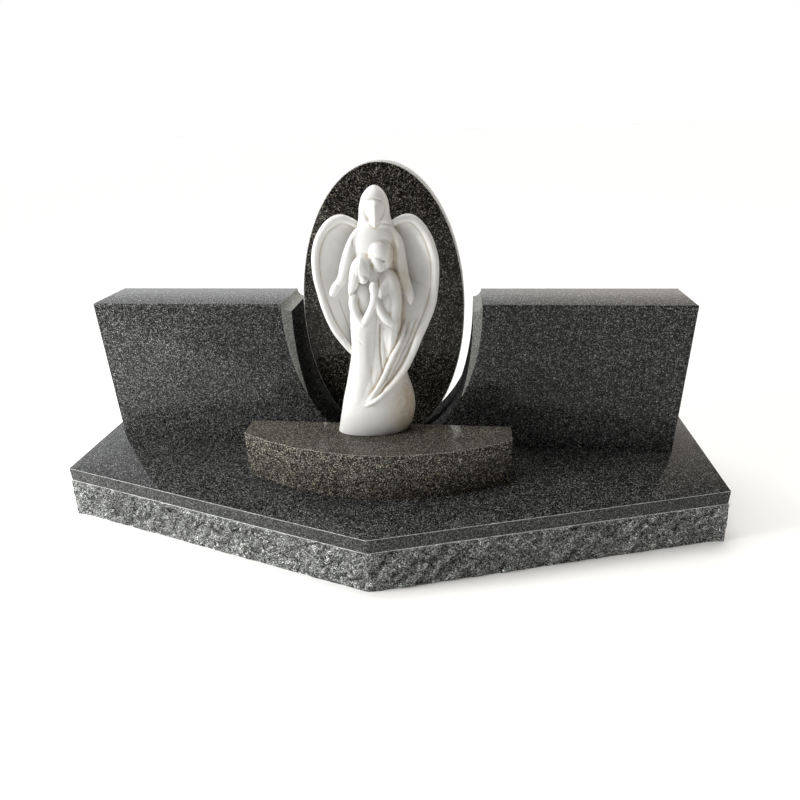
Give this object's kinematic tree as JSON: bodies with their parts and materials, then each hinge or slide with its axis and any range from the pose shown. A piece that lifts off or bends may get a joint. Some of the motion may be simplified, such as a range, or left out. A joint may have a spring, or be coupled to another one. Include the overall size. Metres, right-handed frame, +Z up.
{
  "type": "family headstone",
  "caption": "Granite headstone with wing tablets round an oval stele, on a pitched base, with a marble angel holding a couple on a bow-fronted step.",
  "frame": {"origin": "middle of the base slab's underside, at ground level", "axes": "+X to the viewer's right along the straight back, +Y from the pointed front to the back, +Z up"},
  "size_m": [1.5576, 0.6302, 0.8031],
  "materials": {
    "dark_granite": "polished, with a rock-pitched lower edge on the base",
    "brown_granite": "polished",
    "white_marble": "smooth honed marble"
  },
  "bodies": {
    "root": {"base_slab": "dark_granite", "left_wing_tablet": "dark_granite", "right_wing_tablet": "dark_granite", "oval_stele": "brown_granite", "podium_step": "brown_granite", "angel_statue": "white_marble"}
  },
  "joints": []
}
